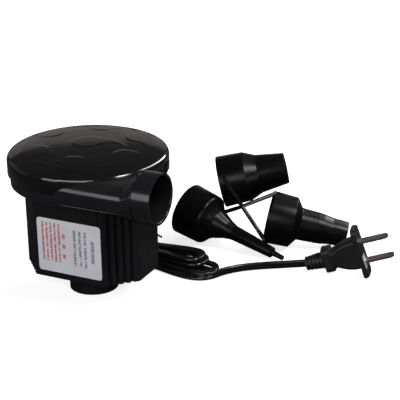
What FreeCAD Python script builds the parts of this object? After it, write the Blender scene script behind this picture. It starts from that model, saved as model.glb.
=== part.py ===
"""Electric air mattress pump with its cord, plug and three nozzles.

Units are millimetres. Z is up. The origin is the centre of the rim of the
inlet port that the pump stands on. X runs along the outlet tube, out of its
mouth, and the label faces -Y.
"""
import FreeCAD
import Part
import math
import os

V = FreeCAD.Vector
os.makedirs("parts", exist_ok=True)

# ---------------------------------------------------------------- driving sizes
port_outer_r = 14.65          # inlet port and outlet tube share one outside radius,
port_bore_r = 13.0            # so each nozzle fits both
port_height = 14.65

body_half_x = 38.1            # octagonal motor housing
body_half_y = 27.9
body_chamfer_x = 15.6
body_chamfer_y = 16.3
body_wall = 2.0
body_floor = 2.2
body_rib_wall = 3.4           # thicker wall behind the ribs
body_top_z = 69.0
rib_grooves = 4
rib_groove_width = 3.0
rib_groove_depth = 1.7
rib_pitch = 4.4

casing_r = 45.6               # round blower casing
casing_wall = 1.8
casing_floor = 2.0
casing_eye_r = 15.0
rim_r = 0.5                   # rounding inside the rims of port and outlet

lid_top_z = 85.6
lid_depth = 10.4
lid_plate = 2.0
lid_skirt_wall = 1.2
lid_edge_r = 2.0
lid_boss_r = 2.6
lid_dome_rise = 5.6           # the lid's top is a shallow dome
relief_height = 0.4           # raised drops on the dome
relief_ring_r = 32.0
relief_head_r = 8.8
relief_tail = 22.5

duct_front_y = -46.7          # tangential duct
duct_top_z = 84.4
duct_front_top_r = 8.0
duct_front_bottom_r = 3.7
duct_back_r = 3.0
duct_wall = 2.0
duct_blend_angle = 20.0
outlet_axis_y = -32.3
outlet_axis_z = 77.3
duct_end_x = 45.5
collar_x = 52.5
outlet_mouth_x = 63.8

shaft_r = 2.5
running_gap = 0.03            # radial play of a running fit
seat_gap = 0.2                # play between parts that only locate each other
leg_r = 2.8                   # legs of the blower housing, on columns of the motor housing
column_r = 3.6
column_wall_gap = 3.5         # from the legs' axes to the ribbed wall's inside
column_side_gap = 3.9         # from the legs' axes to the front and back walls' inside

stator_r = 23.5
stator_yoke_inner_r = 18.5
pole_shoe_inner_r = 12.4
pole_shoe_outer_r = 15.0
pole_half_width = 6.0
stator_bottom_z = 36.0
stator_top_z = 56.0
armature_r = 11.9
armature_slots = 12
commutator_r = 5.5
commutator_bottom_z = 24.6
commutator_top_z = 31.0
lower_bearing_r = 6.5
lower_bearing_z = 19.2
lower_bearing_height = 5.0
upper_bearing_r = 8.0
upper_bearing_z = 60.8
upper_bearing_height = 5.0
brush_reach = 17.0            # outer end of the brush holders
lower_bracket_z = 22.0
bracket_thickness = 2.5
upper_bracket_z = 62.0

impeller_gap = 1.7            # from the fan to the lid's bosses
impeller_eye_r = 16.0
impeller_bottom_z = 72.0
impeller_disc_z = 79.0
impeller_blades = 8
impeller_plate = 1.2

switch_z = 28.0               # rocker switch in the -X side
switch_throw = 16.0
rocker_r = 8.3
rocker_pivot_x = -body_half_x + 3.2
rocker_rise = 4.9             # from the pivot to the rocker's ridge
bezel_thickness = 1.8
switch_depth = 11.7           # how far the switch reaches into the housing
terminal_length = 4.5
terminal_pitch = 10.0

gland_x = -9.0                # cord exit in the +Y side
gland_z = 22.0
relief_length = 24.0
cord_d = 4.9
hank_bottom_z = 0.7
hank_top_z = 10.3

plug_pitch = 19.0             # the plug lies on its edge
plug_heading = 11.5
flange_half_height = 16.1
flange_half_width = 6.8
flange_thickness = 2.4
flange_corner = 3.0
blade_spacing = 12.7
blade_width = 6.4
blade_thickness = 1.5
blade_length = 17.6

nozzle_wall = 1.4


# sizes that follow from the ones above
lid_r = casing_r + seat_gap + lid_skirt_wall
casing_top_z = lid_top_z - lid_plate
lid_bottom_z = lid_top_z - lid_depth
chamber_floor_z = body_top_z + casing_floor
lid_screw_r = casing_r - casing_wall - lid_boss_r - 2 * seat_gap
impeller_r = lid_screw_r - lid_boss_r - impeller_gap


# ---------------------------------------------------------------- helpers
def box(x0, x1, y0, y1, z0, z1):
    """Return a box between two corners."""
    return Part.makeBox(x1 - x0, y1 - y0, z1 - z0, V(x0, y0, z0))


def cyl(r, z0, z1, x=0.0, y=0.0):
    """Return an upright cylinder."""
    return Part.makeCylinder(r, z1 - z0, V(x, y, z0))


def pipe(r_out, r_in, z0, z1, x=0.0, y=0.0):
    """Return an upright tube."""
    return cyl(r_out, z0, z1, x, y).cut(cyl(r_in, z0 - 1.0, z1 + 1.0, x, y))


def cyl_along(axis, r, start, length):
    """Return a cylinder from a start point along a direction."""
    return Part.makeCylinder(r, length, start, axis)


def prism(points, z0, z1):
    """Return an upright prism over a closed outline of (x, y) points."""
    corners = [V(x, y, z0) for x, y in points]
    face = Part.Face(Part.makePolygon(corners + [corners[0]]))
    return face.extrude(V(0, 0, z1 - z0))


def join(shapes):
    """Fuse a list of shapes into one shape without inner seams."""
    solid = shapes[0]
    if len(shapes) > 1:
        solid = shapes[0].fuse(shapes[1:])
    return solid.removeSplitter()


def turned(shape, degrees, axis=None, centre=None):
    """Return a copy turned about an axis through a point."""
    copy = shape.copy()
    copy.rotate(centre or V(0, 0, 0), axis or V(0, 0, 1), degrees)
    return copy


def moved(shape, x, y, z):
    """Return a copy moved by x, y and z."""
    copy = shape.copy()
    copy.translate(V(x, y, z))
    return copy


def revolved(profile, start, heading, pitch):
    """Return the solid of an (s, r) profile turned about a tilted axis.

    The axis leaves the start point, s is measured along it, heading is the
    angle in plan and pitch is the rise.
    """
    corners = [V(s, 0, r) for s, r in profile]
    face = Part.Face(Part.makePolygon(corners + [corners[0]]))
    solid = face.revolve(V(0, 0, 0), V(1, 0, 0), 360)
    solid.Placement = FreeCAD.Placement(start, FreeCAD.Rotation(heading, -pitch, 0))
    return solid


def arc_path(points):
    """Return a wire of straight runs joined by tangent arcs, and the arc radii."""
    edges = []
    radii = []
    at = points[0]
    for i in range(1, len(points) - 1):
        corner = points[i]
        back = points[i - 1] - corner
        ahead = points[i + 1] - corner
        shorter = min(back.Length, ahead.Length)
        back.normalize()
        ahead.normalize()
        half_turn = (math.pi - back.getAngle(ahead)) / 2
        trim = 0.45 * shorter
        radius = trim / math.tan(half_turn)
        entry = corner + back * trim
        leave = corner + ahead * trim
        middle_dir = back + ahead
        middle_dir.normalize()
        depth = radius / math.cos(half_turn) - radius
        edges.append(Part.LineSegment(at, entry).toShape())
        edges.append(Part.Arc(entry, corner + middle_dir * depth, leave).toShape())
        radii.append(round(radius, 1))
        at = leave
    edges.append(Part.LineSegment(at, points[-1]).toShape())
    return Part.Wire(edges), radii


def cord_tube(points, radius):
    """Return a round tube along a route of straight runs and tangent arcs."""
    path, radii = arc_path(points)
    direction = points[1] - points[0]
    section = Part.Wire(Part.makeCircle(radius, points[0], direction))
    tube = path.makePipeShell([section], True, True)
    expected = math.pi * radius * radius * path.Length
    print("tube", round(path.Length, 1), "long, radii", radii,
          "volume ratio", round(tube.Volume / expected, 4))
    return tube


def export(name, shape):
    """Write one node and print its size."""
    solids = shape.Solids
    good = all(solid.isValid() for solid in solids)
    print(name, len(solids), "solids", "valid" if good else "INVALID", round(shape.Volume, 1))
    shape.exportStep("parts/" + name + ".step")


def circle_edges(shape, radius, reach=0.02):
    """Return the full circular edges of a given radius."""
    found = []
    for edge in shape.Edges:
        if isinstance(edge.Curve, Part.Circle) and abs(edge.Curve.Radius - radius) < reach:
            found.append(edge)
    return found


# ---------------------------------------------------------------- motor housing
def octagon(half_x, half_y, chamfer_x, chamfer_y):
    """Return the eight corners of a rectangle with cut corners."""
    return [(half_x, -(half_y - chamfer_y)), (half_x, half_y - chamfer_y),
            (half_x - chamfer_x, half_y), (-(half_x - chamfer_x), half_y),
            (-half_x, half_y - chamfer_y), (-half_x, -(half_y - chamfer_y)),
            (-(half_x - chamfer_x), -half_y), (half_x - chamfer_x, -half_y)]


body_bottom_z = port_height
body_inside_z = body_bottom_z + body_floor
chamfer_length = math.hypot(body_chamfer_x, body_chamfer_y)
chamfer_n = V(body_chamfer_y / chamfer_length, body_chamfer_x / chamfer_length, 0)
chamfer_reach = chamfer_n.x * body_half_x + chamfer_n.y * (body_half_y - body_chamfer_y)
inside_half_x = body_half_x - body_wall
inside_half_y = body_half_y - body_wall
inside_reach = chamfer_reach - body_rib_wall
inside_chamfer_y = inside_half_y - (inside_reach - chamfer_n.x * inside_half_x) / chamfer_n.y
inside_chamfer_x = inside_half_x - (inside_reach - chamfer_n.y * inside_half_y) / chamfer_n.x

shell = prism(octagon(body_half_x, body_half_y, body_chamfer_x, body_chamfer_y),
              body_bottom_z, body_top_z)
edges = [e for e in shell.Edges if abs(e.Vertexes[0].Z - e.Vertexes[-1].Z) > 10]
shell = shell.makeFillet(1.2, edges)
cavity = prism(octagon(inside_half_x, inside_half_y, inside_chamfer_x, inside_chamfer_y),
               body_inside_z, body_top_z + 1)
shell = shell.cut(cavity)

# vertical ribs on the four cut corners, left standing between V grooves
chamfer_mid = V(body_half_x - body_chamfer_x / 2, body_half_y - body_chamfer_y / 2, 0)
chamfer_t = V(-chamfer_n.y, chamfer_n.x, 0)
grooves = []
for i in range(rib_grooves):
    along = (i - (rib_grooves - 1) / 2) * rib_pitch
    centre = chamfer_mid + chamfer_t * along
    mouth = chamfer_n * 0.3
    left = centre - chamfer_t * (rib_groove_width / 2) + mouth
    right = centre + chamfer_t * (rib_groove_width / 2) + mouth
    root = centre - chamfer_n * rib_groove_depth
    corners = [(p.x, p.y) for p in (left, right, root)]
    groove = prism(corners, body_bottom_z - 1, body_top_z - 3.0)
    grooves.append(groove)
    grooves.append(groove.mirror(V(0, 0, 0), V(1, 0, 0)))
    grooves.append(groove.mirror(V(0, 0, 0), V(0, 1, 0)))
    grooves.append(turned(groove, 180))
shell = shell.cut(grooves)

# columns for the four long housing screws
column_y = inside_half_y - column_side_gap
column_x = (inside_reach - column_wall_gap - chamfer_n.y * column_y) / chamfer_n.x
column_top_z = 34.0
screw_seat_z = 30.0
screw_head_r = 2.6
screw_head_height = 2.0
screw_r = 1.25
column_places = [(sx * column_x, sy * column_y) for sx in (-1, 1) for sy in (-1, 1)]
columns = [cyl(column_r, body_bottom_z + 0.5, column_top_z, x, y).common(
    prism(octagon(inside_half_x + 0.5, inside_half_y + 0.5, inside_chamfer_x, inside_chamfer_y),
          body_bottom_z, column_top_z)) for x, y in column_places]
port = pipe(port_outer_r, port_bore_r, 0.0, body_inside_z)
web = box(-12.1, body_half_x - body_chamfer_x - 1.5, -body_half_y - 0.8, -body_half_y + 0.5,
          52.6, body_top_z)
motor_housing = join([shell, web, port] + columns)
motor_housing = motor_housing.cut(cyl(port_bore_r, -1, body_inside_z + 1))
for x, y in column_places:
    motor_housing = motor_housing.cut(cyl(screw_head_r + 0.3, body_bottom_z - 1, screw_seat_z, x, y))
    motor_housing = motor_housing.cut(cyl(screw_r + 0.2, screw_seat_z - 1, column_top_z + 1, x, y))

# window for the switch, hole for the cord gland
switch_half_y = 6.4
switch_half_z = 9.4
gland_neck_r = 4.0
motor_housing = motor_housing.cut(box(-body_half_x - 1, -inside_half_x + 1, -switch_half_y,
                                      switch_half_y, switch_z - switch_half_z,
                                      switch_z + switch_half_z))
motor_housing = motor_housing.cut(cyl_along(V(0, 1, 0), gland_neck_r,
                                            V(gland_x, inside_half_y - 1, gland_z), 4))
rim = circle_edges(motor_housing, port_bore_r)
rim = [e for e in rim if abs(e.Vertexes[0].Z) < 0.01]
motor_housing = motor_housing.makeFillet(rim_r, rim)
export("motor_housing", motor_housing)

# inlet grille, pressed into the port from inside
grille = cyl(port_bore_r - 0.05, 9.0, 11.0)
for x in (-9.0, -6.0, -3.0, 0.0, 3.0, 6.0, 9.0):
    half = math.sqrt((port_bore_r - 2.0) ** 2 - x * x)
    grille = grille.cut(box(x - 1.0, x + 1.0, -half, half, 8.0, 12.0))
grille = join([grille, box(-11.9, 11.9, -0.8, 0.8, 9.0, 11.0)])
export("inlet_grille", grille)

# label recess plate on the front
label = box(-19.9, 22.3, -body_half_y - 0.4, -body_half_y, 18.6, 51.9)
edges = [e for e in label.Edges if abs(e.Vertexes[0].Y - e.Vertexes[-1].Y) > 0.3]
label = label.makeFillet(2.0, edges)
export("label_plate", label)


# ---------------------------------------------------------------- blower housing
def duct_section(grow, x):
    """Return the closed outline of the duct at x, made wider by grow."""
    y0 = duct_front_y - grow
    y1 = outlet_axis_y + port_outer_r + grow
    z0 = body_top_z - grow
    z1 = duct_top_z + grow
    r_fb = duct_front_bottom_r + grow
    r_ft = duct_front_top_r + grow
    r_b = duct_back_r + grow
    k = 1 - math.sqrt(0.5)
    edges = [
        Part.LineSegment(V(x, y1 - r_b, z0), V(x, y0 + r_fb, z0)),
        Part.Arc(V(x, y0 + r_fb, z0), V(x, y0 + r_fb * k, z0 + r_fb * k), V(x, y0, z0 + r_fb)),
        Part.LineSegment(V(x, y0, z0 + r_fb), V(x, y0, z1 - r_ft)),
        Part.Arc(V(x, y0, z1 - r_ft), V(x, y0 + r_ft * k, z1 - r_ft * k), V(x, y0 + r_ft, z1)),
        Part.LineSegment(V(x, y0 + r_ft, z1), V(x, y1 - r_b, z1)),
        Part.Arc(V(x, y1 - r_b, z1), V(x, y1 - r_b * k, z1 - r_b * k), V(x, y1, z1 - r_b)),
        Part.LineSegment(V(x, y1, z1 - r_b), V(x, y1, z0 + r_b)),
        Part.Arc(V(x, y1, z0 + r_b), V(x, y1 - r_b * k, z0 + r_b * k), V(x, y1 - r_b, z0)),
    ]
    return Part.Wire([e.toShape() for e in edges])


def tube_section(radius, x):
    """Return a circle at x in eight arcs that pair with the duct's edges."""
    joints = [-75, -105, -165, -195, -255, -285, -345, -375, -435]
    edges = []
    for start, end in zip(joints, joints[1:]):
        points = []
        for angle in (start, (start + end) / 2, end):
            a = math.radians(angle)
            points.append(V(x, outlet_axis_y + radius * math.cos(a),
                            outlet_axis_z + radius * math.sin(a)))
        edges.append(Part.Arc(*points).toShape())
    return Part.Wire(edges)


blend_x = 6.2
blend_r = (-duct_front_y - casing_r * math.cos(math.radians(duct_blend_angle))) / (
    1 - math.cos(math.radians(duct_blend_angle)))
blend_axis = V(blend_x, duct_front_y + blend_r, 0)


def duct_solid(grow, sweep):
    """Return the duct: a curved start round the casing, then a straight run."""
    straight = Part.Face(duct_section(grow, blend_x)).extrude(V(duct_end_x - blend_x, 0, 0))
    curved = Part.Face(duct_section(grow, blend_x)).revolve(blend_axis, V(0, 0, -1), sweep)
    return straight.fuse(curved)


duct_outer = duct_solid(0.0, duct_blend_angle)
duct_inner = duct_solid(-duct_wall, duct_blend_angle - 3.0)
flare_outer = Part.makeLoft([duct_section(0.0, duct_end_x), tube_section(port_outer_r, collar_x)],
                            True, True)
flare_inner = Part.makeLoft([duct_section(-duct_wall, duct_end_x),
                             tube_section(port_bore_r, collar_x)], True, True)
outlet_start = V(collar_x, outlet_axis_y, outlet_axis_z)
outlet_tube = cyl_along(V(1, 0, 0), port_outer_r, outlet_start, outlet_mouth_x - collar_x)
outlet_bore = cyl_along(V(1, 0, 0), port_bore_r, outlet_start, 30)

casing = cyl(casing_r, body_top_z, casing_top_z)
blower = join([casing, duct_outer, flare_outer, outlet_tube])
# housing legs and motor bosses hang from the floor
legs = [cyl(leg_r, column_top_z, body_top_z + 0.5, x, y) for x, y in column_places]
mount_r = stator_r - 3.2
mount_boss_r = 3.2
mount_boss_z = 66.0
mount_places = [(mount_r * math.cos(math.radians(a)), mount_r * math.sin(math.radians(a)))
                for a in (0, 120, 240)]
bosses = [cyl(mount_boss_r, mount_boss_z, body_top_z + 0.5, x, y) for x, y in mount_places]
blower = join([blower] + legs + bosses)
blower = blower.cut(cyl(casing_r - casing_wall, chamber_floor_z, duct_top_z + 5))
blower = blower.cut(duct_inner.fuse([flare_inner, outlet_bore]))
blower = blower.cut(cyl(casing_eye_r, body_top_z - 1, chamber_floor_z + 1))
for x, y in column_places:
    blower = blower.cut(cyl(screw_r, column_top_z - 1, column_top_z + 13, x, y))
for x, y in mount_places:
    blower = blower.cut(cyl(screw_r, mount_boss_z - 1, mount_boss_z + 3.5, x, y))
lid_screw_places = [(lid_screw_r * math.cos(math.radians(a)), lid_screw_r * math.sin(math.radians(a)))
                    for a in (45, 135, 225)]
for x, y in lid_screw_places:
    blower = blower.cut(cyl(screw_r + 0.2, body_top_z - 1, chamber_floor_z + 1, x, y))
# shallow groove that sets off the outlet tube, and a softened mouth
groove_cut = cyl_along(V(1, 0, 0), port_outer_r + 2, outlet_start + V(0.1, 0, 0), 0.9).cut(
    cyl_along(V(1, 0, 0), port_outer_r - 0.5, outlet_start, 3))
blower = blower.cut(groove_cut)
mouth = [e for e in circle_edges(blower, port_bore_r) if abs(e.Vertexes[0].X - outlet_mouth_x) < 0.01]
blower = blower.makeFillet(rim_r, mouth)
export("blower_housing", blower)

# ---------------------------------------------------------------- lid
dome_top_z = lid_top_z + lid_dome_rise


def dome(lower, shrink):
    """Return the lid's filled outside, made smaller and set lower.

    The top rises slowly from a steep edge, which two arcs follow.
    """
    r = lid_r - shrink
    base_z = lid_bottom_z
    top = V(0, 0, dome_top_z - lower)
    flank = V(r * 0.68, 0, lid_top_z + lid_dome_rise * 0.68 - lower)
    brow = V(r * 0.945, 0, lid_top_z + lid_dome_rise * 0.14 - lower)
    bend = V(r - 0.35, 0, lid_top_z - 0.75 - lower)
    shoulder = V(r, 0, lid_top_z - lid_edge_r - 0.3 - lower)
    edges = [Part.Arc(top, flank, brow), Part.Arc(brow, bend, shoulder),
             Part.LineSegment(shoulder, V(r, 0, base_z)),
             Part.LineSegment(V(r, 0, base_z), V(0, 0, base_z)),
             Part.LineSegment(V(0, 0, base_z), top)]
    face = Part.Face(Part.Wire([e.toShape() for e in edges]))
    return face.revolve(V(0, 0, 0), V(0, 0, 1), 360)


lid_outside = dome(0.0, 0.0)
lid = lid_outside.cut(dome(lid_plate, lid_skirt_wall).common(
    cyl(casing_r - casing_wall, lid_bottom_z - 1, dome_top_z)))
lid = lid.cut(cyl(lid_r - lid_skirt_wall, lid_bottom_z - 1, casing_top_z))
boss_top_z = lid_top_z + lid_dome_rise * 0.14
lid = join([lid] + [cyl(lid_boss_r, chamber_floor_z, boss_top_z, x, y)
                    for x, y in lid_screw_places])
for x, y in lid_screw_places:
    lid = lid.cut(cyl(screw_r, chamber_floor_z - 1, chamber_floor_z + 7.5, x, y))
lid = lid.cut(duct_solid(0.15, duct_blend_angle))
skirt_cut_top_z = lid_bottom_z + 4.3
lid = lid.cut(box(1.5, 25.0, -lid_r - 1, -lid_r + 7, lid_bottom_z - 1, skirt_cut_top_z))


def drop(head_x, head_y, turn):
    """Return an upright prism over a curved drop with its head at a point."""
    r = relief_head_r
    z = lid_bottom_z
    tip = V(-relief_tail, r * 0.42, z)
    neck = V(-r * 0.62, r * 0.78, z)
    head = Part.Arc(V(0, -r, z), V(r * 0.71, r * 0.71, z), neck)
    inner = Part.Arc(neck, V(-relief_tail * 0.53, r * 0.10, z), tip)
    outer = Part.Arc(tip, V(-relief_tail * 0.53, -r * 0.68, z), V(0, -r, z))
    face = Part.Face(Part.Wire([arc.toShape() for arc in (head, inner, outer)]))
    solid = face.extrude(V(0, 0, dome_top_z + 5 - z))
    return moved(turned(solid, turn), head_x, head_y, 0)


# raised swirl: six curved drops round a seventh, each rooted in the dome's plate
relief_root = lid_plate / 2
relief_layer = moved(lid_outside, 0, 0, relief_height).cut(moved(lid_outside, 0, 0, -relief_root))
relief_layer = relief_layer.common(cyl(lid_r - lid_edge_r - 0.6, lid_top_z - 1, dome_top_z + 2))
relief_places = [(0.0, 0.0, 200.0)]
for i in range(6):
    angle = 60 * i - 16
    a = math.radians(angle)
    relief_places.append((relief_ring_r * math.cos(a), relief_ring_r * math.sin(a), angle + 90))
drops = [relief_layer.common(drop(x, y, turn)) for x, y, turn in relief_places]
lid = join([lid] + drops)
export("lid", lid)

# ---------------------------------------------------------------- screws
def screw(x, y, seat_z, length, head_r=screw_head_r, head_height=screw_head_height, up=True):
    """Return a pan-head screw driven upwards from a seat."""
    head = cyl(head_r, seat_z - head_height, seat_z, x, y)
    cross = box(x - 0.5, x + 0.5, y - 1.7, y + 1.7, seat_z - head_height - 1,
                seat_z - head_height + 1.0)
    cross = join([cross, turned(cross, 90, V(0, 0, 1), V(x, y, 0))])
    shank = cyl(screw_r, seat_z - 0.5, seat_z + length, x, y)
    return join([head.cut(cross), shank])


housing_screws = [screw(x, y, screw_seat_z, 16.0) for x, y in column_places]
export("housing_screws", Part.makeCompound(housing_screws))
lid_screws = [screw(x, y, body_top_z, 8.5, 2.5, 1.6) for x, y in lid_screw_places]
export("lid_screws", Part.makeCompound(lid_screws))
bracket_top_z = upper_bracket_z + bracket_thickness
mount_screws = [screw(x, y, upper_bracket_z, mount_boss_z + 2.5 - upper_bracket_z, 2.8, 1.6)
                for x, y in mount_places]
export("motor_mount_screws", Part.makeCompound(mount_screws))
rubber_mounts = [pipe(mount_boss_r, screw_r + 0.1, bracket_top_z, mount_boss_z, x, y)
                 for x, y in mount_places]
export("rubber_mounts", Part.makeCompound(rubber_mounts))

# ---------------------------------------------------------------- motor, fixed parts
post_y = 20.5
post_r = 2.8
through_screw_r = 1.5
coil_half_span = 12.0
motor_screw_places = [(0.0, post_y), (0.0, -post_y)]

yoke = pipe(stator_r, stator_yoke_inner_r, stator_bottom_z, stator_top_z)
shoes = pipe(pole_shoe_outer_r, pole_shoe_inner_r, stator_bottom_z, stator_top_z)
shoes = shoes.common([box(s * 10.5 - 5.5, s * 10.5 + 5.5, -coil_half_span, coil_half_span,
                          stator_bottom_z, stator_top_z) for s in (-1, 1)])
necks = [box(s * 16.5 - 2.6, s * 16.5 + 2.6, -pole_half_width, pole_half_width,
             stator_bottom_z, stator_top_z) for s in (-1, 1)]
necks = [n.cut(cyl(pole_shoe_outer_r - 0.5, 0, 80)) for n in necks]
stator = join([yoke] + shoes.Solids + necks)
for x, y in motor_screw_places:
    stator = stator.cut(cyl(through_screw_r + 0.1, stator_bottom_z - 1, stator_top_z + 1, x, y))
export("stator_core", stator)

coils = []
coil_reach = 4.0
for s in (-1, 1):
    ring = pipe(stator_yoke_inner_r - 0.15, pole_shoe_outer_r + 0.15,
                stator_bottom_z - coil_reach, stator_top_z + coil_reach)
    sector = box(s * 12.0 - 7.0, s * 12.0 + 7.0, -coil_half_span, coil_half_span,
                 stator_bottom_z - 10, stator_top_z + 10)
    hole = box(-20, 20, -pole_half_width - 0.1, pole_half_width + 0.1,
               stator_bottom_z - 0.1, stator_top_z + 0.1)
    coils.append(ring.common(sector).cut(hole))
export("field_coils", Part.makeCompound(coils))

lower_hub_r = lower_bearing_r + 1.6
lower_plate = cyl(stator_r - 0.5, lower_bracket_z, lower_bracket_z + bracket_thickness)
arm_y = box(-4.0, 4.0, -30, 30, 0, 60)
arm_x = box(-brush_reach - 0.5, brush_reach + 0.5, -5.5, 5.5, 0, 60)
lower_plate = lower_plate.common(join([arm_y, arm_x]).common(cyl(stator_r - 0.5, 0, 60)))
lower_hub = cyl(lower_hub_r, lower_bearing_z - 0.8, lower_bracket_z + bracket_thickness)
lower_posts = [cyl(post_r, lower_bracket_z, stator_bottom_z, x, y) for x, y in motor_screw_places]
lower_bracket = join([lower_plate, lower_hub] + lower_posts)
lower_bracket = lower_bracket.cut(cyl(lower_bearing_r, lower_bearing_z,
                                      lower_bracket_z + bracket_thickness + 1))
lower_bracket = lower_bracket.cut(cyl(shaft_r + 1.0, lower_bearing_z - 2, lower_bearing_z + 1))
for x, y in motor_screw_places:
    lower_bracket = lower_bracket.cut(cyl(through_screw_r + 0.1, 0, stator_bottom_z + 1, x, y))
export("lower_motor_bracket", lower_bracket)

upper_hub_r = upper_bearing_r + 1.8
upper_plate = cyl(stator_r, upper_bracket_z, bracket_top_z)
windows = pipe(17.0, 11.5, upper_bracket_z - 1, bracket_top_z + 1)
spokes = [turned(box(9.0, 19.0, -2.2, 2.2, 0, 80), a) for a in (30, 90, 150, 210, 270, 330)]
upper_plate = upper_plate.cut(windows.cut(spokes))
upper_hub = cyl(upper_hub_r, upper_bearing_z - 0.5, upper_bearing_z + upper_bearing_height)
upper_posts = [cyl(post_r, stator_top_z, upper_bracket_z + 0.5, x, y) for x, y in motor_screw_places]
upper_bracket = join([upper_plate, upper_hub] + upper_posts)
upper_bracket = upper_bracket.cut(cyl(upper_bearing_r, upper_bearing_z,
                                      upper_bearing_z + upper_bearing_height + 1))
upper_bracket = upper_bracket.cut(cyl(shaft_r + 2.0, upper_bearing_z - 2, upper_bearing_z + 1))
for x, y in motor_screw_places:
    upper_bracket = upper_bracket.cut(cyl(through_screw_r, stator_top_z - 1, bracket_top_z + 1, x, y))
for x, y in mount_places:
    upper_bracket = upper_bracket.cut(cyl(screw_r + 0.1, upper_bracket_z - 1, bracket_top_z + 1, x, y))
export("upper_motor_bracket", upper_bracket)

motor_screws = []
for x, y in motor_screw_places:
    head = cyl(2.7, lower_bracket_z - 2.0, lower_bracket_z, x, y)
    head = head.cut(box(x - 2.0, x + 2.0, y - 0.4, y + 0.4, lower_bracket_z - 3, lower_bracket_z - 1))
    motor_screws.append(join([head, cyl(through_screw_r, lower_bracket_z - 0.5, bracket_top_z, x, y)]))
export("motor_screws", Part.makeCompound(motor_screws))


def bearing(radius, z0, height):
    """Return a ball bearing as an outer ring, an inner ring and a ball row."""
    inner_r = shaft_r + running_gap
    race = (radius - inner_r) / 3
    outer = pipe(radius, radius - race, z0, z0 + height)
    inner = pipe(inner_r + race, inner_r, z0, z0 + height)
    shield = pipe(radius - race, inner_r + race, z0 + height * 0.25, z0 + height * 0.75)
    return join([outer, inner, shield])


export("lower_bearing", bearing(lower_bearing_r, lower_bearing_z, lower_bearing_height))
export("upper_bearing", bearing(upper_bearing_r, upper_bearing_z, upper_bearing_height))

# brush gear on the lower bracket, along X
brush_z = (commutator_bottom_z + commutator_top_z) / 2 + 0.4
holder_start = 7.2
holder_end = brush_reach
holder_half = 3.4
brush_half_y = 2.4
brush_half_z = 2.2
brush_tip = commutator_r + 0.05
brush_end = 12.6
cap_depth = 0.8
spring_wire_r = 0.35
spring_turns = 4
spring_room = holder_end - cap_depth - brush_end
spring_pitch = (spring_room - 2 * spring_wire_r) / (spring_turns - 1)
holders = []
brushes = []
springs = []
caps = []
for s in (-1, 1):
    bracket_plane = lower_bracket_z + bracket_thickness
    holder = box(holder_start, holder_end, -holder_half, holder_half, bracket_plane,
                 brush_z + brush_half_z + 1.0)
    holder = holder.cut(box(holder_start - 1, holder_end + 1, -brush_half_y - 0.1, brush_half_y + 0.1,
                            brush_z - brush_half_z - 0.1, brush_z + brush_half_z + 0.1))
    brush = box(commutator_r - 2, brush_end, -brush_half_y, brush_half_y,
                brush_z - brush_half_z, brush_z + brush_half_z).cut(cyl(brush_tip, 0, 60))
    turns = []
    for i in range(spring_turns):
        centre = V(brush_end + spring_wire_r + i * spring_pitch, 0, brush_z)
        turns.append(Part.makeTorus(1.5, spring_wire_r, centre, V(1, 0, 0)))
    spine = Part.makeCylinder(0.25, spring_room, V(brush_end, 0, brush_z + 1.45), V(1, 0, 0))
    spring = join(turns + [spine])
    cap = box(holder_end - cap_depth, holder_end, -brush_half_y, brush_half_y,
              brush_z - brush_half_z, brush_z + brush_half_z)
    turn_by = 0 if s > 0 else 180
    holders.append(turned(holder, turn_by))
    brushes.append(turned(brush, turn_by))
    springs.append(turned(spring, turn_by))
    caps.append(turned(cap, turn_by))
export("brush_holders", Part.makeCompound(holders))
export("carbon_brushes", Part.makeCompound(brushes))
export("brush_springs", Part.makeCompound(springs))
export("brush_caps", Part.makeCompound(caps))

cutout_y = coil_half_span + 0.1
cutout = box(9.4, 14.2, cutout_y, cutout_y + 3.2, stator_top_z + 0.1, stator_top_z + 3.6)
export("thermal_cutout", cutout)

# ---------------------------------------------------------------- rotor
shaft_top_z = 82.8
shaft = cyl(shaft_r, lower_bearing_z - 0.6, shaft_top_z)
export("motor_shaft", shaft)

core_bottom_z = stator_bottom_z
core_top_z = stator_top_z
core = pipe(armature_r, shaft_r, core_bottom_z, core_top_z)
slots = []
coil_bars = []
for i in range(armature_slots):
    slot = box(armature_r - 5.2, armature_r + 1, -0.9, 0.9, core_bottom_z - 1, core_top_z + 1)
    well = cyl(1.5, core_bottom_z - 1, core_top_z + 1, armature_r - 4.4, 0)
    bar = cyl(1.4, core_bottom_z, core_top_z, armature_r - 4.4, 0)
    angle = 360.0 / armature_slots * i
    slots.append(turned(slot, angle))
    slots.append(turned(well, angle))
    coil_bars.append(turned(bar, angle))
core = core.cut(slots)
export("armature_core", core)

winding_r = 10.6
end_turns = []
for z0, z1 in ((core_bottom_z - 3.6, core_bottom_z), (core_top_z, core_top_z + 3.4)):
    ring = pipe(winding_r, shaft_r, z0, z1)
    outer_edge = circle_edges(ring, winding_r)
    far = [e for e in outer_edge if min(abs(e.Vertexes[0].Z - core_bottom_z),
                                        abs(e.Vertexes[0].Z - core_top_z)) > 1]
    end_turns.append(ring.makeFillet(1.6, far))
export("armature_windings", join(end_turns + coil_bars))

commutator = pipe(commutator_r, shaft_r, commutator_bottom_z, commutator_top_z)
for i in range(armature_slots):
    cut = box(commutator_r - 0.6, commutator_r + 1, -0.2, 0.2, commutator_bottom_z - 1,
              commutator_top_z + 1)
    commutator = commutator.cut(turned(cut, 360.0 / armature_slots * i))
export("commutator", commutator)

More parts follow.
